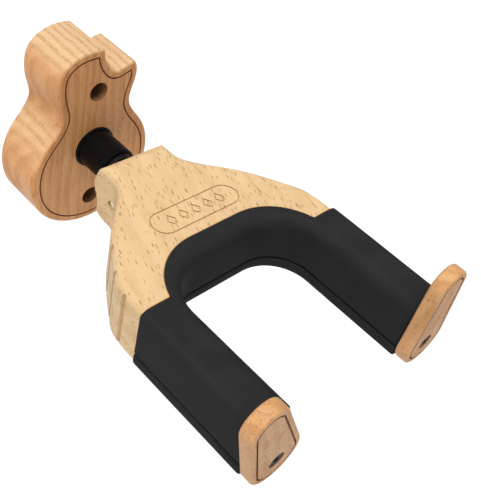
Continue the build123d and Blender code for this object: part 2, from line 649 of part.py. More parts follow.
def gate(side, opening):
    """The wooden gate with its burned line, screw seat and drive hole."""
    body = prism_y(at_gate(side, opening, gate_plan()), GATE_BACK_Y, GATE_FRONT_Y)
    faces = body.faces().sort_by(Axis.Y)
    body = fillet(faces[0].edges() + faces[-1].edges(), GATE_EDGE_R)
    line = gate_plan(GATE_LINE_INSET) - gate_plan(GATE_LINE_INSET + PURFLING_W)
    body -= prism_y(at_gate(side, opening, line), GATE_FRONT_Y + PURFLING_DEPTH, GATE_FRONT_Y - 1)
    x = side * GATE_X
    head_y = GATE_FRONT_Y + GATE_SCREW_HEAD_T + GATE_SCREW_SUNK + RUN
    body -= cyl_y(GATE_SCREW_HEAD_R + EASY, head_y, GATE_FRONT_Y - 1, x, GATE_Z)
    body -= cyl_y(GATE_SCREW_R + EASY, 0, FAR_FRONT_Y, x, GATE_Z)
    return body - drive_end(side, opening, EASY, GATE_BACK_Y - DRIVE_DEPTH)


def drive_end(side, opening, gap, y_front):
    """The flatted end of a gate shaft inside the gate; gap grows it."""
    turn = opening if side < 0 else 180 - opening
    flats = Rectangle(DRIVE_FLAT + 2 * gap, 20) & Circle(GATE_SHAFT_R + gap)
    sketch = Pos(side * GATE_X, GATE_Z) * Rot(0, 0, turn) * flats
    return prism_y(sketch, GATE_BACK_Y + (0.01 if gap else 0.4), y_front)


def gate_washer(side):
    """Thin washer between the arm and the gate."""
    ring = cyl_y(GATE_WASHER_R, ARM_END_Y - 0.03, GATE_BACK_Y + 0.03, side * GATE_X, GATE_Z)
    return ring - cyl_y(GATE_SHAFT_R + RUN, 0, FAR_FRONT_Y, side * GATE_X, GATE_Z)


def gate_shaft(side, opening):
    """The steel shaft through one arm, flatted at the front and pinned to its crank at the back."""
    x = side * GATE_X
    body = cyl_y(GATE_SHAFT_R, CRANK_FRONT_Y + CRANK_T, GATE_BACK_Y + 0.4, x, GATE_Z)
    body += drive_end(side, opening, 0.0, GATE_BACK_Y - DRIVE_DEPTH + 2 * EASY)
    return body - cyl_y(GATE_SCREW_R, GATE_BACK_Y + GATE_SCREW_REACH + 1.5, GATE_FRONT_Y, x, GATE_Z)


def crank(side, opening, crank_r):
    """The crank on the back end of a gate shaft, with the pin that rides in the fork."""
    x = side * GATE_X
    pin_x = side * crank_r * cos(radians(opening / 2))
    pin_z = -crank_r * sin(radians(opening / 2))
    hub, boss = GATE_SHAFT_R + CRANK_HUB_WALL, CRANK_PIN_R + CRANK_BOSS_WALL
    plan = Circle(hub) + Pos(pin_x, pin_z) * Circle(boss)
    plan += make_hull((Circle(hub - 0.2).edges() + (Pos(pin_x, pin_z) * Circle(boss - 0.1)).edges()))
    body = prism_y(Pos(x, GATE_Z) * plan, CRANK_FRONT_Y + CRANK_T, CRANK_FRONT_Y)
    pin_back = FORK_TAB_Y + FORK_TAB_T / 2 + 0.8
    body += cyl_y(CRANK_PIN_R, pin_back, CRANK_FRONT_Y + 0.5, x + pin_x, GATE_Z + pin_z)
    return body - cyl_y(GATE_SHAFT_R, CRANK_FRONT_Y + CRANK_T + 1, CRANK_FRONT_Y - 1, x, GATE_Z)


def gate_screw(side):
    """The black socket screw that clamps a gate to its shaft."""
    x = side * GATE_X
    front = GATE_FRONT_Y + GATE_SCREW_SUNK
    back = front + GATE_SCREW_HEAD_T
    head = cyl_y(GATE_SCREW_HEAD_R, back, front, x, GATE_Z)
    head = chamfer(head.faces().sort_by(Axis.Y)[0].edges(), 0.35)
    body = head + cyl_y(GATE_SCREW_R, GATE_BACK_Y + GATE_SCREW_REACH, back - EASY, x, GATE_Z)
    return body - hexagon_y(GATE_SCREW_KEY_AF, back - 0.6, front - 1, x, GATE_Z)


def save(name, shape):
    """Writes one node."""
    export_step(shape, f"parts/{name}.step")


def main():
    """Builds and writes every node."""
    os.makedirs("parts", exist_ok=True)
    save("wall_plate", wall_plate())
    save("mount_sleeve", mount_sleeve())
    save("collar_ring", collar_ring())
    save("flange_screws", flange_screws())
    save("rear_bush", sleeve_bush(REAR_BUSH_Y, -1))
    save("front_bush", sleeve_bush(FRONT_BUSH_Y, 1))
    save("swivel_shaft", swivel_shaft())
    save("thrust_washer", thrust_washer())
    save("wave_washer", wave_washer())
    save("lock_nut", lock_nut())
    save("lock_fork", lock_fork())
    save("fork_screws", fork_screws())
    save("yoke_body", yoke_body())
    save("return_spring", return_spring())
    save("pivot_pin", pivot_pin())
    save("pivot_washers", pivot_washers())
    upper, lower = pads()
    save("upper_pad", upper)
    save("lower_pad", lower)
    save("bottom_cover", bottom_cover())
    save("cover_screws", cover_screws())
    save("rear_gate_bushes", gate_bushes(CRANK_FRONT_Y - 0.2))
    save("front_gate_bushes", gate_bushes(ARM_END_Y + GATE_BUSH_LEN))
    for name, side, opening, crank_r in SIDES:
        save(f"gate_{name}", gate(side, opening))
        save(f"gate_washer_{name}", gate_washer(side))
        save(f"gate_shaft_{name}", gate_shaft(side, opening))
        save(f"crank_{name}", crank(side, opening, crank_r))
        save(f"gate_screw_{name}", gate_screw(side))


main()
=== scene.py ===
"""Wall guitar hanger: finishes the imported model, shapes its soft pads and lights it."""
import logging
import math
from dataclasses import dataclass, field
from enum import Enum
from typing import Any, Optional

import bpy
import numpy as np
from mathutils import Matrix, Vector


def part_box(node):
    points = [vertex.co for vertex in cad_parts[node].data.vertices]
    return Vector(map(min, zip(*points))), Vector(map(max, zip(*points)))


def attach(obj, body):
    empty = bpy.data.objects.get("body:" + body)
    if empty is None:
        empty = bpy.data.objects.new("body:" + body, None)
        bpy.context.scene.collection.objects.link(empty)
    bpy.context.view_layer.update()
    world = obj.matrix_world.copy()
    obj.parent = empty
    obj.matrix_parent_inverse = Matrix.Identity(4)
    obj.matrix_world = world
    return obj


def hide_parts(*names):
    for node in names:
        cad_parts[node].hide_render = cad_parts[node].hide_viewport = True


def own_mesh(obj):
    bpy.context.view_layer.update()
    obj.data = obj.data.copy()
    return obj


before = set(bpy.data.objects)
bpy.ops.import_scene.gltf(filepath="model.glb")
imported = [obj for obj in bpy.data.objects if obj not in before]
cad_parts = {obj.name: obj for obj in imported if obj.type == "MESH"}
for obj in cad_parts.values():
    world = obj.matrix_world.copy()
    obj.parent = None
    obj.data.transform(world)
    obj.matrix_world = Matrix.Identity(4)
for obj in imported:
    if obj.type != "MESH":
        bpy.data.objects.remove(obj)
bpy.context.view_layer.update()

log = logging.getLogger("guitar_hanger")

MM = 0.001
Colour = tuple[float, float, float]
Point = tuple[float, float, float]
FALLING = (1.0, 0.0)
TINY = 1e-9
SENSOR_MM = 36.0
CLIP_START = 0.01


# ---------------------------------------------------------------- node wiring
class Wiring:
    """Adds and links shader nodes in one node tree."""

    def __init__(self, tree: bpy.types.NodeTree) -> None:
        """Keeps the tree that the nodes go into.

        Args:
            tree: A material's node tree or a shader node group.
        """
        self.tree = tree

    def put(self, socket: bpy.types.NodeSocket, value: Any) -> None:
        """Links a socket to another, or sets its constant.

        Args:
            socket: The input to feed.
            value: An output socket, a number, a vector or a colour of three parts.
        """
        if isinstance(value, bpy.types.NodeSocket):
            self.tree.links.new(value, socket)
        elif socket.type == "RGBA" and len(value) == 3:
            socket.default_value = (*value, 1.0)
        else:
            socket.default_value = value

    def add(self, kind: str, inputs: Optional[dict[Any, Any]] = None,
            **settings: Any) -> bpy.types.Node:
        """Adds one node.

        Args:
            kind: The node's Blender class name.
            inputs: Values or output sockets by input name or index.
            **settings: Attributes of the node itself.

        Returns:
            The new node.
        """
        node = self.tree.nodes.new(kind)
        for name, value in settings.items():
            setattr(node, name, value)
        for name, value in (inputs or {}).items():
            self.put(node.inputs[name], value)
        return node

    def math(self, operation: str, *values: Any, clamp: bool = False) -> bpy.types.NodeSocket:
        """Adds a Math node and returns its result."""
        return self.add("ShaderNodeMath", dict(enumerate(values)), operation=operation,
                        use_clamp=clamp).outputs[0]

    def vector(self, operation: str, *values: Any) -> bpy.types.NodeSocket:
        """Adds a Vector Math node and returns its vector, or its number where it gives one."""
        node = self.add("ShaderNodeVectorMath", dict(enumerate(values)), operation=operation)
        return node.outputs["Value" if operation in ("LENGTH", "DOT_PRODUCT") else "Vector"]

    def mix(self, share: Any, first: Any, second: Any) -> bpy.types.NodeSocket:
        """Adds a colour mix and returns the colour."""
        node = self.add("ShaderNodeMix", {0: share, 6: first, 7: second}, data_type="RGBA")
        return node.outputs[2]

    def step(self, value: Any, low: float, high: float,
             to: tuple[float, float] = (0.0, 1.0)) -> bpy.types.NodeSocket:
        """Adds a smooth step from low to high.

        Args:
            value: What is measured.
            low: Where the step starts.
            high: Where the step ends.
            to: The results before and after the step.

        Returns:
            The step's output socket.
        """
        before, after = to
        ends = {"Value": value, "From Min": low, "From Max": high, "To Min": before,
                "To Max": after}
        return self.add("ShaderNodeMapRange", ends, interpolation_type="SMOOTHSTEP").outputs[0]

    def noise(self, place: Any, scale: float = 1.0, detail: float = 2.0,
              rough: float = 0.5) -> bpy.types.NodeSocket:
        """Adds a noise texture and returns its value."""
        inputs = {"Vector": place, "Scale": scale, "Detail": detail, "Roughness": rough}
        return self.add("ShaderNodeTexNoise", inputs).outputs[0]

    def between(self, value: Any, low: float, high: float) -> bpy.types.NodeSocket:
        """Returns 1 where the value lies between low and high, and 0 elsewhere."""
        above = self.math("GREATER_THAN", value, low)
        return self.math("MULTIPLY", above, self.math("LESS_THAN", value, high))

    def split(self, vector: Any) -> Any:
        """Returns the X, Y and Z of a vector."""
        return self.add("ShaderNodeSeparateXYZ", {0: vector}).outputs

    def join(self, x: Any = 0.0, y: Any = 0.0, z: Any = 0.0) -> bpy.types.NodeSocket:
        """Returns a vector made of three numbers."""
        return self.add("ShaderNodeCombineXYZ", {0: x, 1: y, 2: z}).outputs[0]


@dataclass(frozen=True)
class Port:
    """One named input or output of a shared shader group."""

    name: str
    kind: str
    value: Any = None


def new_group(name: str, inputs: list[Port],
              outputs: list[Port]) -> tuple[bpy.types.NodeTree, Wiring, Any, Any]:
    """Starts a shader node group.

    Args:
        name: The group's name.
        inputs: Its input ports.
        outputs: Its output ports.

    Returns:
        The group, its wiring, the sockets that bring values in, and the sockets that take them out.
    """
    group = bpy.data.node_groups.new(name, "ShaderNodeTree")
    for port in inputs:
        made = group.interface.new_socket(port.name, in_out="INPUT", socket_type=port.kind)
        if port.value is not None:
            made.default_value = port.value
    for port in outputs:
        group.interface.new_socket(port.name, in_out="OUTPUT", socket_type=port.kind)
    source = group.nodes.new("NodeGroupInput")
    target = group.nodes.new("NodeGroupOutput")
    return group, Wiring(group), source.outputs, target.inputs


NUMBER, VECTOR, COLOUR = "NodeSocketFloat", "NodeSocketVector", "NodeSocketColor"


class SharedEffects:
    """The shader node groups that several finishes use, each built once."""

    PATCH_SPAN = (0.3, 0.7)
    DRIFT_SCALE = (0.035, 0.035, 0.009)
    MOTTLE_SCALE = (0.13, 0.13, 0.05)
    STREAK_SCALE = (1.5, 1.5, 0.06)
    STREAK_MIDDLE = 0.42
    MOTTLE_SPAN = (0.35, 0.75)
    MOTTLE_SHARE = 0.45
    RING_RISE = (0.1, 0.86)
    RING_FALL = (0.9, 1.0)
    RING_LEAN = 0.5
    RING_WANDER_MM = 16.0
    FLECKS_PER_MM = 1.4
    FLECK_REACH = 0.2
    FLECK_REACH_SPREAD = 0.12
    FLECK_EDGE = (0.55, 1.15)
    FLECK_FAINTEST = 0.55
    TIMBER_ROUGHNESS = (0.42, 0.55)
    FLECK_ROUGHNESS = 0.12
    STREAK_HEIGHT = 0.25
    FLECK_HEIGHT = 0.5
    CUT_BOTTOM_MM = (0.22, 0.95)
    CUT_WALL_MM = (-0.05, 0.72)
    LEVEL_FACING = 0.97
    WALL_FACING = 0.35
    SMUDGE_BROAD_SHARE = 0.75
    SMUDGE_FINE_SCALE = 11.0
    DUST_SCALE = 2.3
    DUST_SHARE = 0.4
    PEBBLE_SHARE = 0.7

    def __init__(self) -> None:
        """Builds every group."""
        self.beech = self._beech()
        self.groove = self._groove()
        self.handling = self._handling()
        self.skin = self._skin()

    @staticmethod
    def _beech() -> bpy.types.NodeTree:
        """Beech cut from the solid: growth rings, streaks, mottling and short dark ray flecks.

        Returns:
            The group. Its place is in millimetres, with the grain along Z and the rings across X.
        """
        group, w, source, target = new_group(
            "beech_timber",
            [Port("Place", VECTOR), Port("Ring Pitch", NUMBER, 4.0),
             Port("Ring Strength", NUMBER, 0.5), Port("Streak", NUMBER, 0.5),
             Port("Fleck Amount", NUMBER, 0.5),
             Port("Fleck Length", NUMBER, 3.4), Port("Pale", COLOUR), Port("Rich", COLOUR),
             Port("Fleck Colour", COLOUR)],
            [Port("Colour", COLOUR), Port("Roughness", NUMBER), Port("Height", NUMBER)])
        own = SharedEffects
        place = source["Place"]
        drift = w.noise(w.vector("MULTIPLY", place, own.DRIFT_SCALE), detail=3.0)
        mottle = w.noise(w.vector("MULTIPLY", place, own.MOTTLE_SCALE), detail=4.0, rough=0.6)
        streak = w.noise(w.vector("MULTIPLY", place, own.STREAK_SCALE), detail=5.0, rough=0.6)
        parts = w.split(place)
        across = w.math("ADD", parts["X"], w.math("MULTIPLY", parts["Y"], own.RING_LEAN))
        across = w.math("ADD", across, w.math("MULTIPLY", drift, own.RING_WANDER_MM))
        turn = w.math("FRACT", w.math("DIVIDE", across, source["Ring Pitch"]))
        ring = w.step(turn, *own.RING_RISE)
        ring = w.math("MULTIPLY", ring, w.step(turn, *own.RING_FALL, FALLING))
        tone = w.math("MULTIPLY", ring, source["Ring Strength"])
        uneven = w.math("SUBTRACT", streak, own.STREAK_MIDDLE)
        tone = w.math("ADD", tone, w.math("MULTIPLY", uneven, source["Streak"]))
        patch = w.step(mottle, *own.MOTTLE_SPAN, (0.0, own.MOTTLE_SHARE))
        tone = w.math("ADD", tone, patch, clamp=True)
        along = w.math("DIVIDE", 1.0, source["Fleck Length"])
        stretched = w.vector("MULTIPLY", place, w.join(own.FLECKS_PER_MM, own.FLECKS_PER_MM, along))
        cells = w.add("ShaderNodeTexVoronoi", {"Vector": stretched, "Scale": 1.0})
        chance = w.add("ShaderNodeSeparateColor", {0: cells.outputs["Color"]}).outputs
        drawn = w.math("LESS_THAN", chance[0], source["Fleck Amount"])
        reach = w.math("MULTIPLY", chance[1], own.FLECK_REACH_SPREAD)
        reach = w.math("ADD", reach, own.FLECK_REACH)
        off = w.math("DIVIDE", cells.outputs["Distance"], reach)
        fleck = w.step(off, *own.FLECK_EDGE, FALLING)
        fleck = w.math("MULTIPLY", fleck, drawn)
        strong = w.step(chance[2], 0.0, 1.0, (own.FLECK_FAINTEST, 1.0))
        depth = w.math("MULTIPLY", fleck, strong)
        body = w.mix(tone, source["Pale"], source["Rich"])
        w.put(target["Colour"], w.mix(depth, body, source["Fleck Colour"]))
        rough = w.step(mottle, *own.PATCH_SPAN, own.TIMBER_ROUGHNESS)
        rougher = w.math("MULTIPLY", fleck, own.FLECK_ROUGHNESS)
        w.put(target["Roughness"], w.math("ADD", rough, rougher))
        raised = w.math("MULTIPLY", streak, own.STREAK_HEIGHT)
        sunk = w.math("MULTIPLY", fleck, own.FLECK_HEIGHT)
        w.put(target["Height"], w.math("SUBTRACT", raised, sunk))
        return group

    @staticmethod
    def _groove() -> bpy.types.NodeTree:
        """A mask of a shallow line cut into a flat face, from its depth below the face.

        Returns:
            The group. Depth is in millimetres, and facing is 1 where the surface faces as the
            face does.
        """
        group, w, source, target = new_group(
            "cut_line", [Port("Depth", NUMBER), Port("Facing", NUMBER)], [Port("Mask", NUMBER)])
        own = SharedEffects
        bottom = w.between(source["Depth"], *own.CUT_BOTTOM_MM)
        flat = w.math("GREATER_THAN", source["Facing"], own.LEVEL_FACING)
        bottom = w.math("MULTIPLY", bottom, flat)
        wall = w.between(source["Depth"], *own.CUT_WALL_MM)
        upright = w.math("LESS_THAN", w.math("ABSOLUTE", source["Facing"]), own.WALL_FACING)
        wall = w.math("MULTIPLY", wall, upright)
        w.put(target["Mask"], w.math("MAXIMUM", bottom, wall))
        return group

    @staticmethod
    def _handling() -> bpy.types.NodeTree:
        """Faint smudges and rubbed patches that vary a finish's roughness and tone.

        Returns:
            The group. Its place is in millimetres.
        """
        group, w, source, target = new_group(
            "handling", [Port("Place", VECTOR), Port("Size", NUMBER, 9.0), Port("Low", NUMBER, 0.3),
                         Port("High", NUMBER, 0.5)],
            [Port("Roughness", NUMBER), Port("Tone", NUMBER)])
        own = SharedEffects
        size = source["Size"]
        scaled = w.vector("DIVIDE", source["Place"], w.join(size, size, size))
        broad = w.noise(scaled, detail=4.0, rough=0.55)
        fine = w.noise(scaled, own.SMUDGE_FINE_SCALE, detail=3.0)
        both = w.math("ADD", w.math("MULTIPLY", broad, own.SMUDGE_BROAD_SHARE),
                      w.math("MULTIPLY", fine, 1.0 - own.SMUDGE_BROAD_SHARE))
        shade = w.step(both, *own.PATCH_SPAN)
        span = w.math("SUBTRACT", source["High"], source["Low"])
        w.put(target["Roughness"], w.math("ADD", source["Low"], w.math("MULTIPLY", shade, span)))
        w.put(target["Tone"], shade)
        return group

    @staticmethod
    def _skin() -> bpy.types.NodeTree:
        """The fine pebbled skin of foam and plastic.

        Returns:
            The group. Its place is in millimetres.
        """
        group, w, source, target = new_group(
            "moulded_skin", [Port("Place", VECTOR), Port("Pebble", NUMBER, 0.5)],
            [Port("Height", NUMBER)])
        grain = w.math("DIVIDE", 1.0, source["Pebble"])
        place = w.vector("MULTIPLY", source["Place"], w.join(grain, grain, grain))
        cells = w.add("ShaderNodeTexVoronoi", {"Vector": place, "Scale": 1.0}, feature="SMOOTH_F1")
        dust = w.noise(place, SharedEffects.DUST_SCALE, detail=3.0, rough=0.6)
        dust = w.math("MULTIPLY", dust, SharedEffects.DUST_SHARE)
        pebbles = w.math("MULTIPLY", cells.outputs["Distance"], SharedEffects.PEBBLE_SHARE)
        w.put(target["Height"], w.math("ADD", pebbles, dust))
        return group


EFFECTS = SharedEffects()


# ---------------------------------------------------------------- finishes
class Finish:
    """A material that can be given to pieces. Each kind of finish fills in its own shader."""

    name: str

    def material(self) -> bpy.types.Material:
        """Makes the finish's Blender material, on first use only.

        Returns:
            The material.
        """
        made = bpy.data.materials.get(self.name)
        if made is None:
            made = bpy.data.materials.new(self.name)
            made.use_nodes = True
            made.node_tree.nodes.clear()
            wiring = Wiring(made.node_tree)
            shader = wiring.add("ShaderNodeBsdfPrincipled")
            out = wiring.add("ShaderNodeOutputMaterial")
            wiring.put(out.inputs["Surface"], shader.outputs[0])
            self.shade(wiring, shader.inputs)
        return made

    def shade(self, w: Wiring, shader: Any) -> None:
        """Feeds the Principled shader.

        Args:
            w: The material's wiring.
            shader: The Principled shader's inputs.
        """
        raise NotImplementedError


def place_mm(w: Wiring, turn: Point = (0.0, 0.0, 0.0),
             shift: Point = (0.0, 0.0, 0.0)) -> bpy.types.NodeSocket:
    """The point on the piece in millimetres, turned and shifted.

    Args:
        w: The material's wiring.
        turn: Rotation in degrees about X, Y and Z.
        shift: Offset in millimetres.

    Returns:
        The vector socket.
    """
    here = w.add("ShaderNodeTexCoord").outputs["Object"]
    inputs = {"Vector": here, "Location": shift, "Rotation": tuple(math.radians(a) for a in turn),
              "Scale": (1 / MM, 1 / MM, 1 / MM)}
    return w.add("ShaderNodeMapping", inputs).outputs[0]


def facing_of(w: Wiring) -> bpy.types.NodeSocket:
    """Returns the direction that the surface faces."""
    return w.add("ShaderNodeTexCoord").outputs["Normal"]


def group_node(w: Wiring, group: bpy.types.NodeTree, inputs: dict[str, Any]) -> Any:
    """Places a shared group.

    Args:
        w: The material's wiring.
        group: The shared group.
        inputs: Values or sockets by input name.

    Returns:
        The group's outputs.
    """
    node = w.add("ShaderNodeGroup", node_tree=group)
    for name, value in inputs.items():
        w.put(node.inputs[name], value)
    return node.outputs


def bump(w: Wiring, height: Any, shader: Any, depth_mm: float, strength: float) -> None:
    """Feeds the shader's normal from a height.

    Args:
        w: The material's wiring.
        height: The height socket, about 0 to 1.
        shader: The Principled shader's inputs.
        depth_mm: How deep a height of 1 is, in millimetres.
        strength: The bump's strength.
    """
    inputs = {"Height": height, "Distance": depth_mm * MM, "Strength": strength}
    w.put(shader["Normal"], w.add("ShaderNodeBump", inputs).outputs[0])


class Grain(Enum):
    """Which way the grain of a wooden piece runs, as a turn in degrees that brings it to Z."""

    UPRIGHT = (0.0, 0.0, 0.0)
    ALONG_ARMS = (90.0, -18.0, 0.0)
    LEFT_GATE = (0.0, 22.0, 0.0)
    RIGHT_GATE = (0.0, 4.0, 0.0)


class CutFace(Enum):
    """The face that a piece's decorative line is cut into."""

    FRONT = (0.0, -1.0, 0.0)
    TOP = (0.0, 0.0, 1.0)


@dataclass(frozen=True)
class BurnedOrShadedLine:
    """A line cut into one face and darkened: browned by the cutter where it is burned, painted
    shade where it is not.

    Attributes:
        face: The face that it is cut into.
        level: The face's place along its own normal, in metres.
        colour: The browned wood, and for an unburned line the painted shade.
        share: How far the wood has browned, and for an unburned line how strong the painted shade
            is.
        area: Lowest and highest corners of the area that holds it, in millimetres.
    """

    face: CutFace
    level: float
    colour: Colour = (0.25, 0.095, 0.04)
    share: float = 0.9
    area: Optional[tuple[Point, Point]] = None

    def over(self, w: Wiring, base: Any) -> Any:
        """Browns a colour inside the line, which is painted shade where the line is not burned.

        Args:
            w: The material's wiring.
            base: The wood's colour socket.

        Returns:
            The new colour socket.
        """
        here = place_mm(w)
        facing = w.vector("DOT_PRODUCT", facing_of(w), self.face.value)
        depth = w.math("SUBTRACT", self.level / MM, w.vector("DOT_PRODUCT", here, self.face.value))
        mask = group_node(w, EFFECTS.groove, {"Depth": depth, "Facing": facing})["Mask"]
        if self.area is not None:
            for part, low, high in zip(w.split(here), *self.area):
                mask = w.math("MULTIPLY", mask, w.between(part, low, high))
        return w.mix(w.math("MULTIPLY", mask, self.share), base, self.colour)


@dataclass(frozen=True)
class PadEdge:
    """The brown, sanded edge of the wood where it meets the pad.

    Attributes:
        half_width: Half the width of the recess between the arms, in millimetres.
        back: The recess's back, in millimetres.
        corner: The recess's corner radius, in millimetres.
        line: Where the pads start along the arms, in millimetres.
        width: The brown edge's width, in millimetres.
        inward: How far the brown reaches down the edge, in millimetres.
        share: How far the edge has browned.
        colour: The brown.
    """

    half_width: float = 41.5
    back: float = -105.5
    corner: float = 28.0
    line: float = -125.5
    width: float = 0.45
    inward: float = 0.6
    share: float = 0.75
    colour: Colour = (0.20, 0.095, 0.04)

    def over(self, w: Wiring, base: Any) -> Any:
        """Browns a colour along the edge.

        Args:
            w: The material's wiring.
            base: The wood's colour socket.

        Returns:
            The new colour socket.
        """
        parts = w.split(place_mm(w))
        side = w.math("SUBTRACT", w.math("ABSOLUTE", parts["X"]), self.half_width - self.corner)
        rear = w.math("SUBTRACT", parts["Y"], self.back - self.corner)
        corner = w.join(w.math("MAXIMUM", side, 0.0), w.math("MAXIMUM", rear, 0.0))
        from_recess = w.math("SUBTRACT", w.vector("LENGTH", corner), self.corner)
        from_line = w.math("SUBTRACT", parts["Y"], self.line)
        distance = w.math("MINIMUM", from_recess, from_line)
        mask = w.step(distance, self.width * 0.5, self.width, (self.share, 0.0))
        mask = w.math("MULTIPLY", mask, w.math("GREATER_THAN", distance, -self.inward))
        return w.mix(mask, base, self.colour)


@dataclass(frozen=True)
class PaintedFluteShade:
    """Painted shade: slight brown darkening at the bottom of the upright grooves in the yoke's
    sides.

    Attributes:
        places: Where the grooves lie along the yoke, in millimetres.
        half_width: Half a groove's width, in millimetres.
        share: How strong the painted shade at the bottom is.
        upright: How much a face may lean, from all browned to not at all.
        colour: The painted shade's brown.
    """

    places: tuple[float, ...] = (-92.0, -103.2, -114.6)
    half_width: float = 1.5
    share: float = 0.62
    upright: tuple[float, float] = (0.3, 0.6)
    colour: Colour = (0.34, 0.17, 0.085)

    def over(self, w: Wiring, base: Any) -> Any:
        """Darkens a colour inside the grooves with painted shade, on upright faces only.

        Args:
            w: The material's wiring.
            base: The wood's colour socket.

        Returns:
            The new colour socket.
        """
        parts = w.split(place_mm(w))
        lean = w.math("ABSOLUTE", w.split(facing_of(w))["Z"])
        upright = w.step(lean, *self.upright, FALLING)
        for middle in self.places:
            off = w.math("ABSOLUTE", w.math("SUBTRACT", parts["Y"], middle))
            # Painted shade: darker brown towards the middle of each groove.
            mask = w.step(off, self.half_width * 0.3, self.half_width, (self.share, 0.0))
            base = w.mix(w.math("MULTIPLY", mask, upright), base, self.colour)
        return base


@dataclass(frozen=True)
class PaintedHoleShade:
    """Painted shade: the dark walls of holes that run along Y.

    Attributes:
        centres: Each hole's place across and up, in millimetres.
        radius: The area around each centre that holds it, in millimetres.
        edge: The width over which the brown fades out, in millimetres.
        share: How strong the painted shade on the wall is.
        colour: The painted shade's dark brown.
    """

    ALONG_THE_FACE = (1.0, 0.0, 1.0)

    centres: tuple[tuple[float, float], ...] = ((0.0, 30.0), (0.0, -30.0))
    radius: float = 4.75
    edge: float = 0.2
    share: float = 0.85
    colour: Colour = (0.13, 0.045, 0.02)

    def over(self, w: Wiring, base: Any) -> Any:
        """Darkens a colour inside the holes with painted shade.

        Args:
            w: The material's wiring.
            base: The wood's colour socket.

        Returns:
            The new colour socket.
        """
        place = w.vector("MULTIPLY", place_mm(w), self.ALONG_THE_FACE)
        for across, up in self.centres:
            away = w.vector("LENGTH", w.vector("SUBTRACT", place, (across, 0.0, up)))
            # Painted shade: the hole wall is darkened towards the brown.
            inside = w.step(away, self.radius - self.edge, self.radius, (self.share, 0.0))
            base = w.mix(inside, base, self.colour)
        return base


@dataclass(frozen=True)
class EndGrainAndTopHighlight:
    """The top of an upright board paled as painted highlight, with short ticks where the end
    grain's rings show.

    Attributes:
        colour: The pale top: end grain, lightened as painted highlight.
        tick: The late wood of each ring, in short ticks.
        pitch: Millimetres from ring to ring.
        wander: How far the rings wander, in radians of one ring.
        band: The span of a ring's wave that is late wood.
        rungs: The span of the unevenness that breaks the late wood into ticks.
        tick_share: How far a tick darkens.
        share: How far the top pales with the painted highlight.
    """

    DRIFT_SCALE = (0.05, 0.05, 0.05)
    RUNG_SCALE = (0.5, 1.5, 0.5)
    FAINTEST_RUNG = 0.35
    TURN_UP = (0.15, 0.85)

    colour: Colour = (0.57, 0.39, 0.22)
    tick: Colour = (0.36, 0.19, 0.085)
    pitch: float = 3.4
    wander: float = 9.0
    band: tuple[float, float] = (-0.2, 0.9)
    rungs: tuple[float, float] = (0.45, 0.6)
    tick_share: float = 0.75
    share: float = 0.85

    def over(self, w: Wiring, base: Any) -> Any:
        """Pales a colour where the surface faces up, as painted highlight over the end grain's
        ticks.

        Args:
            w: The material's wiring.
            base: The wood's colour socket.

        Returns:
            The new colour socket.
        """
        place = place_mm(w)
        drift = w.noise(w.vector("MULTIPLY", place, self.DRIFT_SCALE))
        across = w.math("MULTIPLY", w.split(place)["X"], math.tau / self.pitch)
        turn = w.math("ADD", across, w.math("MULTIPLY", drift, self.wander))
        band = w.step(w.math("SINE", turn), *self.band)
        uneven = w.noise(w.vector("MULTIPLY", place, self.RUNG_SCALE))
        rungs = w.step(uneven, *self.rungs, (self.FAINTEST_RUNG, 1.0))
        ticks = w.math("MULTIPLY", w.math("MULTIPLY", band, rungs), self.tick_share)
        wood = w.mix(ticks, self.colour, self.tick)
        # Painted highlight: faces that face up are paled; the ticks are the end grain itself.
        top = w.step(w.split(facing_of(w))["Z"], *self.TURN_UP, (0.0, self.share))
        return w.mix(top, base, wood)


@dataclass(frozen=True)
class Beech(Finish):
    """Oiled beech.

    Attributes:
        name: The material's name.
        grain: Which way the grain runs.
        pale: The early wood.
        rich: The late wood.
        fleck: The ray flecks.
        ring_pitch: Millimetres from ring to ring.
        ring_strength: How strongly the rings show.
        streak: How strongly the fine streaks show.
        fleck_amount: The share of places that hold a fleck.
        fleck_length: A fleck's spacing along the grain, in millimetres.
        details: What is cut or browned in this piece.
        shift: Where in the log this piece was cut, in millimetres.
        gloss: The strength of the oil's reflection.
        pore_mm: How deep the streaks and flecks are, in millimetres.
        pore_strength: How strongly they show.
    """

    name: str
    grain: Grain
    pale: Colour
    rich: Colour
    fleck: Colour
    ring_pitch: float = 4.0
    ring_strength: float = 0.5
    streak: float = 0.5
    fleck_amount: float = 0.5
    fleck_length: float = 3.4
    details: tuple[Any, ...] = ()
    shift: Point = (0.0, 0.0, 0.0)
    gloss: float = 0.22
    pore_mm: float = 0.12
    pore_strength: float = 0.55

    def shade(self, w: Wiring, shader: Any) -> None:
        """Feeds the Principled shader with the timber and its browned details.

        Args:
            w: The material's wiring.
            shader: The Principled shader's inputs.
        """
        place = place_mm(w, self.grain.value, self.shift)
        timber = group_node(w, EFFECTS.beech, {
            "Place": place, "Ring Pitch": self.ring_pitch, "Ring Strength": self.ring_strength,
            "Streak": self.streak, "Fleck Amount": self.fleck_amount,
            "Fleck Length": self.fleck_length, "Pale": self.pale, "Rich": self.rich,
            "Fleck Colour": self.fleck})
        colour = timber["Colour"]
        for detail in self.details:
            colour = detail.over(w, colour)
        w.put(shader["Base Color"], colour)
        w.put(shader["Roughness"], timber["Roughness"])
        w.put(shader["Specular IOR Level"], self.gloss)
        bump(w, timber["Height"], shader, self.pore_mm, self.pore_strength)


class Turning(Enum):
    """How a metal piece was worked, as the scale of its marks across X, Y and Z."""

    LATHE = (0.15, 9.0, 0.15)
    ROLLED = (0.1, 6.0, 6.0)
    PLAIN = (1.0, 1.0, 1.0)


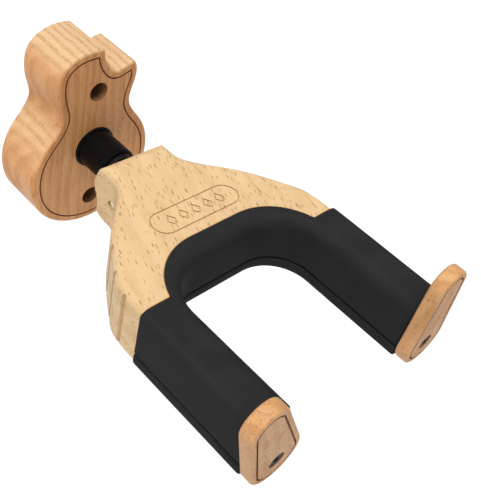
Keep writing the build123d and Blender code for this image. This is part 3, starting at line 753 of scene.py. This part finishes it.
@dataclass(frozen=True)
class Metal(Finish):
    """Plated, blackened or polished metal.

    Attributes:
        name: The material's name.
        colour: The metal or coat.
        metallic: 1 for bare or plated metal, 0 for a black coat.
        rough: Its smoothest and roughest patches.
        turning: The marks that the tool left.
        marks: How strongly the marks show.
        gloss: The strength of a coat's reflection.
        patch_mm: The size of a rubbed patch, in millimetres.
        worn_share: How dark the roughest patches are beside the smoothest.
        mark_mm: How deep the deepest marks are, in millimetres.
    """

    name: str
    colour: Colour
    metallic: float
    rough: tuple[float, float]
    turning: Turning = Turning.PLAIN
    marks: float = 0.25
    gloss: float = 0.5
    patch_mm: float = 7.0
    worn_share: float = 0.78
    mark_mm: float = 0.03

    def shade(self, w: Wiring, shader: Any) -> None:
        """Feeds the Principled shader with handled metal.

        Args:
            w: The material's wiring.
            shader: The Principled shader's inputs.
        """
        place = place_mm(w)
        smooth, rough = self.rough
        worn = group_node(w, EFFECTS.handling, {"Place": place, "Size": self.patch_mm,
                                                "Low": smooth, "High": rough})
        darker = tuple(part * self.worn_share for part in self.colour)
        w.put(shader["Base Color"], w.mix(worn["Tone"], self.colour, darker))
        w.put(shader["Metallic"], self.metallic)
        w.put(shader["Specular IOR Level"], self.gloss)
        w.put(shader["Roughness"], worn["Roughness"])
        scaled = w.vector("MULTIPLY", place, self.turning.value)
        scratches = w.noise(scaled, detail=4.0, rough=0.6)
        bump(w, scratches, shader, self.mark_mm, self.marks)


@dataclass(frozen=True)
class Moulded(Finish):
    """Moulded foam or plastic.

    Attributes:
        name: The material's name.
        colour: Its colour.
        rough: Its smoothest and roughest patches.
        pebble: The size of the skin's pebbles, in millimetres.
        skin: How strongly the skin's pebbles show.
        gloss: The strength of its reflection.
        patch_mm: The size of a rubbed patch, in millimetres.
        skin_mm: How deep the pebbles are, in millimetres.
    """

    WORN_GAIN = 1.22
    WORN_LIFT = 0.001

    name: str
    colour: Colour
    rough: tuple[float, float]
    pebble: float = 0.45
    skin: float = 0.3
    gloss: float = 0.5
    patch_mm: float = 14.0
    skin_mm: float = 0.05

    def shade(self, w: Wiring, shader: Any) -> None:
        """Feeds the Principled shader with a moulded skin.

        Args:
            w: The material's wiring.
            shader: The Principled shader's inputs.
        """
        place = place_mm(w)
        smooth, rough = self.rough
        worn = group_node(w, EFFECTS.handling, {"Place": place, "Size": self.patch_mm,
                                                "Low": smooth, "High": rough})
        paler = tuple(min(1.0, part * self.WORN_GAIN + self.WORN_LIFT) for part in self.colour)
        w.put(shader["Base Color"], w.mix(worn["Tone"], self.colour, paler))
        w.put(shader["Roughness"], worn["Roughness"])
        w.put(shader["Specular IOR Level"], self.gloss)
        skin = group_node(w, EFFECTS.skin, {"Place": place, "Pebble": self.pebble})
        bump(w, skin["Height"], shader, self.skin_mm, self.skin)


# ---------------------------------------------------------------- helpers
def dress(node: str, finish: Finish) -> bpy.types.Object:
    """Gives a carried-over node its finish.

    Args:
        node: The node's name.
        finish: The finish.

    Returns:
        The node's object.
    """
    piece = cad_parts[node]
    piece.data.materials.clear()
    piece.data.materials.append(finish.material())
    log.info("dressed %s in %s", node, finish.name)
    return piece


@dataclass
class Fixings:
    """The finishes of the small metal and plastic parts."""

    zinc: Metal = Metal("zinc_plate", (0.60, 0.61, 0.62), 1.0, (0.28, 0.42), Turning.ROLLED)
    dark: Metal = Metal("blackened_steel", (0.008, 0.008, 0.0085), 0.0, (0.3, 0.45),
                        Turning.LATHE, marks=0.2, gloss=0.2)
    black: Metal = Metal("black_oxide", (0.005, 0.005, 0.0052), 0.0, (0.42, 0.56),
                         Turning.LATHE, marks=0.2, gloss=0.1)
    polished: Metal = Metal("polished_pin", (0.82, 0.82, 0.84), 1.0, (0.08, 0.16),
                            Turning.LATHE, marks=0.1)
    bronze: Metal = Metal("sintered_bronze", (0.46, 0.29, 0.13), 0.9, (0.4, 0.55))
    nylon: Moulded = Moulded("natural_nylon", (0.74, 0.72, 0.66), (0.4, 0.5), pebble=0.3, skin=0.15)


@dataclass
class WallPlate:
    """The thick guitar-shaped plate that screws to the wall."""

    pale: Colour = (0.59, 0.305, 0.125)
    rich: Colour = (0.45, 0.195, 0.07)
    fleck: Colour = (0.24, 0.10, 0.04)

    def build(self) -> None:
        """Dresses the plate, with its burned purfling line."""
        front = -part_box("wall_plate")[0].y
        details = (EndGrainAndTopHighlight(), PaintedHoleShade(), BurnedOrShadedLine(CutFace.FRONT, front))
        dress("wall_plate", Beech("plate_beech", Grain.UPRIGHT, self.pale, self.rich, self.fleck,
                                  ring_pitch=4.6, ring_strength=0.5, streak=1.5, fleck_amount=0.5,
                                  fleck_length=6.0, details=details, shift=(3.0, 0.0, 0.0)))


@dataclass
class SwivelSleeve:
    """The black tube in the plate, with its bushes and its screws."""

    fixings: Fixings
    coat: Metal = Metal("satin_black", (0.003, 0.003, 0.0032), 0.0, (0.3, 0.42), Turning.LATHE,
                        marks=0.12, gloss=0.08)

    def build(self) -> None:
        """Dresses the sleeve and what it carries."""
        dress("mount_sleeve", self.coat)
        dress("collar_ring", self.coat)
        dress("flange_screws", self.fixings.zinc)
        for bush in ("rear_bush", "front_bush"):
            dress(bush, self.fixings.bronze)


@dataclass
class SwivelLock:
    """The swivel shaft with its washers and nut, and the fork that works the gates."""

    fixings: Fixings

    def build(self) -> None:
        """Dresses the shaft, fork and small parts."""
        dress("swivel_shaft", self.fixings.dark)
        dress("thrust_washer", self.fixings.nylon)
        for part in ("wave_washer", "lock_nut", "lock_fork", "fork_screws"):
            dress(part, self.fixings.zinc)


@dataclass
class Cushion:
    """A soft moulded pad, made even, rounded into the gap, and slightly crowned.

    Attributes:
        name: The piece's name.
        node: The plain solid that it stands for.
        roll: Radius of the long edge along the gap, in metres.
        upward: True when that edge is on top.
        voxel: Spacing of the mesh, in metres.
        settle: How many smoothing passes the skin gets.
        gap_half: Half the gap between the arms, in metres.
        gap_back: The gap's back, in metres.
        gap_corner: The gap's corner radius, in metres.
        dent: How deep the skin's slow unevenness is, in metres.
    """

    PULL = 0.5
    WAVE_SPAN = (0.021, 0.017)

    name: str
    node: str
    roll: float
    upward: bool
    voxel: float = 0.0008
    settle: int = 3
    gap_half: float = 0.0356
    gap_back: float = -0.115
    gap_corner: float = 0.020
    dent: float = 0.00012

    def build(self, finish: Finish) -> bpy.types.Object:
        """Makes the pad.

        Args:
            finish: The pad's finish.

        Returns:
            The new piece.
        """
        piece = self._even_mesh()
        points, links = self._arrays(piece.data)
        points = self._rolled(points)
        points = self._settled(points, links)
        points = self._dented(points)
        low, high = (np.array(corner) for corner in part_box(self.node))
        points = np.clip(points, low, high)
        piece.data.vertices.foreach_set("co", points.astype(np.float32).ravel())
        piece.data.update()
        piece.data.polygons.foreach_set("use_smooth", [True] * len(piece.data.polygons))
        piece.data.materials.clear()
        piece.data.materials.append(finish.material())
        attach(piece, "yoke")
        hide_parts(self.node)
        log.info("made %s, %d faces", self.name, len(piece.data.polygons))
        return piece

    def _even_mesh(self) -> bpy.types.Object:
        """Makes a new object with an even mesh of the node's shape.

        Returns:
            The object.
        """
        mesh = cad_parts[self.node].data.copy()
        piece = bpy.data.objects.new(self.name, mesh)
        bpy.context.scene.collection.objects.link(piece)
        remesh = piece.modifiers.new("even", "REMESH")
        remesh.mode = "VOXEL"
        remesh.voxel_size = self.voxel
        ready = piece.evaluated_get(bpy.context.evaluated_depsgraph_get())
        even = bpy.data.meshes.new_from_object(ready)
        piece.modifiers.clear()
        piece.data = even
        even.name = self.name
        return piece

    @staticmethod
    def _arrays(mesh: bpy.types.Mesh) -> tuple[np.ndarray, np.ndarray]:
        """Reads a mesh.

        Args:
            mesh: The mesh.

        Returns:
            Its points, one row each, and the two point numbers of each edge.
        """
        points = np.zeros(len(mesh.vertices) * 3)
        mesh.vertices.foreach_get("co", points)
        links = np.zeros(len(mesh.edges) * 2, np.int64)
        mesh.edges.foreach_get("vertices", links)
        return points.reshape(-1, 3), links.reshape(-1, 2)

    def _gap_distance(self, points: np.ndarray) -> tuple[np.ndarray, np.ndarray]:
        """Measures how far points lie from the gap's wall.

        Args:
            points: The points, in metres.

        Returns:
            The distances, and the level directions away from the wall.
        """
        side = np.abs(points[:, 0]) - (self.gap_half - self.gap_corner)
        rear = points[:, 1] - (self.gap_back - self.gap_corner)
        corner = np.stack([np.maximum(side, 0.0), np.maximum(rear, 0.0)], axis=1)
        length = np.linalg.norm(corner, axis=1)
        away = corner / np.maximum(length, TINY)[:, None]
        away[:, 0] *= np.sign(points[:, 0])
        return length - self.gap_corner, away

    def _rolled(self, points: np.ndarray) -> np.ndarray:
        """Rounds the long edge along the gap to its roll radius.

        Args:
            points: The points, in metres.

        Returns:
            The moved points.
        """
        low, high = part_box(self.node)
        level = high.z if self.upward else low.z
        sign = 1.0 if self.upward else -1.0
        distance, away = self._gap_distance(points)
        drop = (level - points[:, 2]) * sign
        across, down = self.roll - distance, self.roll - drop
        reach = np.hypot(across, down)
        inside = (across > 0) & (down > 0) & (reach > self.roll)
        scale = np.where(inside, self.roll / np.maximum(reach, TINY), 1.0)
        moved = points.copy()
        moved[:, :2] += away * (across * (1 - scale))[:, None]
        moved[:, 2] -= sign * down * (1 - scale)
        return moved

    def _settled(self, points: np.ndarray, links: np.ndarray) -> np.ndarray:
        """Smooths the skin, which also softens its edges.

        Args:
            points: The points, in metres.
            links: The two point numbers of each edge.

        Returns:
            The moved points.
        """
        count = np.bincount(links.ravel(), minlength=len(points))[:, None]
        for _ in range(self.settle):
            total = np.zeros_like(points)
            np.add.at(total, links[:, 0], points[links[:, 1]])
            np.add.at(total, links[:, 1], points[links[:, 0]])
            points = points * (1 - self.PULL) + self.PULL * total / np.maximum(count, 1)
        return points

    def _dented(self, points: np.ndarray) -> np.ndarray:
        """Adds the slow unevenness of a soft skin, always inwards in height.

        Args:
            points: The points, in metres.

        Returns:
            The moved points.
        """
        x, y = points[:, 0] / self.WAVE_SPAN[0], points[:, 1] / self.WAVE_SPAN[1]
        across = np.sin(x * 2.1 + 1.3 * np.sin(y))
        along = np.sin(y * 1.7 + 0.8 * np.sin(x * 1.3))
        wave = 0.5 + 0.25 * across + 0.25 * along
        low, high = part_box(self.node)
        middle = (low.z + high.z) / 2
        points = points.copy()
        points[:, 2] -= np.sign(points[:, 2] - middle) * wave * self.dent
        return points


@dataclass
class Yoke:
    """The wooden yoke with its pads, cover, tilt pin and spring."""

    TOP = 0.0147
    PANEL_AREA = ((-26.0, -102.0, 5.0), (26.0, -86.0, 20.0))

    fixings: Fixings
    pale: Colour = (0.60, 0.42, 0.225)
    rich: Colour = (0.48, 0.31, 0.15)
    fleck: Colour = (0.11, 0.05, 0.02)
    foam: Moulded = Moulded("black_foam_skin", (0.0155, 0.0155, 0.016), (0.6, 0.72), pebble=0.4,
                            skin=0.25, gloss=0.04)
    cushions: list[Cushion] = field(default_factory=lambda: [
        Cushion("upper_cushion", "upper_pad", roll=0.0060, upward=True),
        Cushion("lower_cushion", "lower_pad", roll=0.0020, upward=False)])

    def build(self) -> None:
        """Dresses the yoke and builds its pads."""
        # The panel's engraved line is not burned: its brown darkening is painted shade.
        painted_panel_shade = BurnedOrShadedLine(CutFace.TOP, self.TOP, colour=(0.30, 0.15, 0.06), share=0.3,
                           area=self.PANEL_AREA)
        timber = Beech("yoke_beech", Grain.ALONG_ARMS, self.pale, self.rich, self.fleck,
                       ring_pitch=9.0, ring_strength=0.22, streak=0.6, fleck_amount=0.8,
                       fleck_length=6.5, details=(painted_panel_shade, PadEdge(), PaintedFluteShade()))
        dress("yoke_body", timber)
        dress("bottom_cover", Beech("cover_beech", Grain.ALONG_ARMS, self.pale, self.rich,
                                    self.fleck, ring_pitch=7.0, ring_strength=0.35,
                                    shift=(30.0, 0.0, 12.0)))
        dress("pivot_pin", self.fixings.polished)
        spring = dress("return_spring", self.fixings.zinc)
        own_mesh(spring)
        dress("pivot_washers", self.fixings.nylon)
        dress("cover_screws", self.fixings.black)
        for bushes in ("rear_gate_bushes", "front_gate_bushes"):
            dress(bushes, self.fixings.bronze)
        for cushion in self.cushions:
            cushion.build(self.foam)


class Side(Enum):
    """The two gates, by the grain of each."""

    left = Grain.LEFT_GATE
    right = Grain.RIGHT_GATE


@dataclass
class Gate:
    """One gate with its shaft, crank, washer and screw."""

    side: Side
    fixings: Fixings
    pale: Colour = (0.54, 0.295, 0.125)
    rich: Colour = (0.42, 0.20, 0.08)
    fleck: Colour = (0.20, 0.08, 0.03)

    def build(self) -> None:
        """Dresses the gate and its hardware."""
        side = self.side.name
        front = -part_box(f"gate_{side}")[0].y
        line = BurnedOrShadedLine(CutFace.FRONT, front)
        dress(f"gate_{side}", Beech(f"gate_{side}_beech", self.side.value, self.pale, self.rich,
                                    self.fleck, ring_pitch=5.5, ring_strength=0.45, streak=1.2,
                                    fleck_amount=0.55, fleck_length=2.6, details=(line,),
                                    shift=(11.0, 4.0, 0.0)))
        dress(f"gate_screw_{side}", self.fixings.black)
        dress(f"gate_washer_{side}", self.fixings.nylon)
        dress(f"gate_shaft_{side}", self.fixings.dark)
        dress(f"crank_{side}", self.fixings.zinc)


@dataclass(frozen=True)
class Sun:
    """One broad, distant light.

    Attributes:
        name: The light's name.
        towards: The direction that it comes from.
        strength: Its strength, in watts per square metre.
        breadth: Its breadth, in degrees.
    """

    name: str
    towards: Point
    strength: float
    breadth: float = 40.0

    def build(self) -> None:
        """Adds the light."""
        lamp = bpy.data.lights.new(self.name, "SUN")
        lamp.energy = self.strength
        lamp.angle = math.radians(self.breadth)
        light = bpy.data.objects.new(self.name, lamp)
        light.rotation_euler = (-Vector(self.towards)).to_track_quat("-Z", "Y").to_euler()
        bpy.context.scene.collection.objects.link(light)


@dataclass
class Studio:
    """The pale floor, the soft lights and the camera.

    Attributes:
        floor_z: The floor's height, in metres.
        floor_half: Half the floor's width, in metres.
        floor_grey: How much light the floor throws back.
        floor_glow: The floor's own light.
        surround: The strength of the light from all around.
        suns: The distant lights.
        eye: Where the camera stands.
        right: The camera's right.
        down: The camera's down.
        lens: Its focal length, in millimetres.
    """

    WHITE = (1.0, 1.0, 1.0, 1.0)
    FLOOR_ROUGHNESS = 0.9

    floor_z: float = -0.5
    floor_half: float = 6.0
    floor_grey: float = 0.08
    floor_glow: float = 0.95
    surround: float = 0.35
    suns: tuple[Sun, ...] = (Sun("overhead", (-0.2, -0.09, 1.0), 3.8),
                             Sun("from_left", (-1.0, -0.2, 0.2), 0.8))
    eye: Point = (-0.184613, -0.252696, 0.226967)
    right: Point = (0.707804, -0.678852, 0.195381)
    down: Point = (-0.381888, -0.600398, -0.702626)
    lens: float = 58.22

    def build(self) -> None:
        """Sets up the floor, the light and the view."""
        self._floor()
        self._world()
        for sun in self.suns:
            sun.build()
        self._camera()

    def _floor(self) -> None:
        """Lays the floor."""
        half = self.floor_half
        around = ((-half, -half), (half, -half), (half, half), (-half, half))
        mesh = bpy.data.meshes.new("floor")
        mesh.from_pydata([(x, y, self.floor_z) for x, y in around], [], [(0, 1, 2, 3)])
        floor = bpy.data.objects.new("floor", mesh)
        bpy.context.scene.collection.objects.link(floor)
        paint = bpy.data.materials.new("floor_paint")
        paint.use_nodes = True
        shader = paint.node_tree.nodes["Principled BSDF"].inputs
        shader["Base Color"].default_value = (*(self.floor_grey,) * 3, 1.0)
        shader["Roughness"].default_value = self.FLOOR_ROUGHNESS
        shader["Emission Color"].default_value = self.WHITE
        shader["Emission Strength"].default_value = self.floor_glow
        mesh.materials.append(paint)

    def _world(self) -> None:
        """Sets a plain white surround."""
        world = bpy.data.worlds.new("surround")
        world.use_nodes = True
        back = world.node_tree.nodes["Background"].inputs
        back["Color"].default_value = self.WHITE
        back["Strength"].default_value = self.surround
        bpy.context.scene.world = world
        bpy.context.scene.view_settings.view_transform = "Standard"

    def _camera(self) -> None:
        """Stands the camera."""
        right, up = Vector(self.right), -Vector(self.down)
        back = right.cross(up)
        turn = Matrix((right, up, back)).transposed().to_4x4()
        lens = bpy.data.cameras.new("camera")
        lens.lens = self.lens
        lens.sensor_width = SENSOR_MM
        lens.sensor_fit = "HORIZONTAL"
        lens.clip_start = CLIP_START
        camera = bpy.data.objects.new("camera", lens)
        camera.matrix_world = Matrix.Translation(Vector(self.eye)) @ turn
        bpy.context.scene.collection.objects.link(camera)
        bpy.context.scene.camera = camera


def main() -> None:
    """Builds every sub-assembly in order."""
    logging.basicConfig(level=logging.INFO, format="%(name)s: %(message)s")
    fixings = Fixings()
    builders = [WallPlate(), SwivelSleeve(fixings), SwivelLock(fixings), Yoke(fixings),
                Gate(Side.left, fixings), Gate(Side.right, fixings), Studio()]
    for builder in builders:
        builder.build()
        log.info("built %s", type(builder).__name__)


if __name__ == "__main__":
    main()
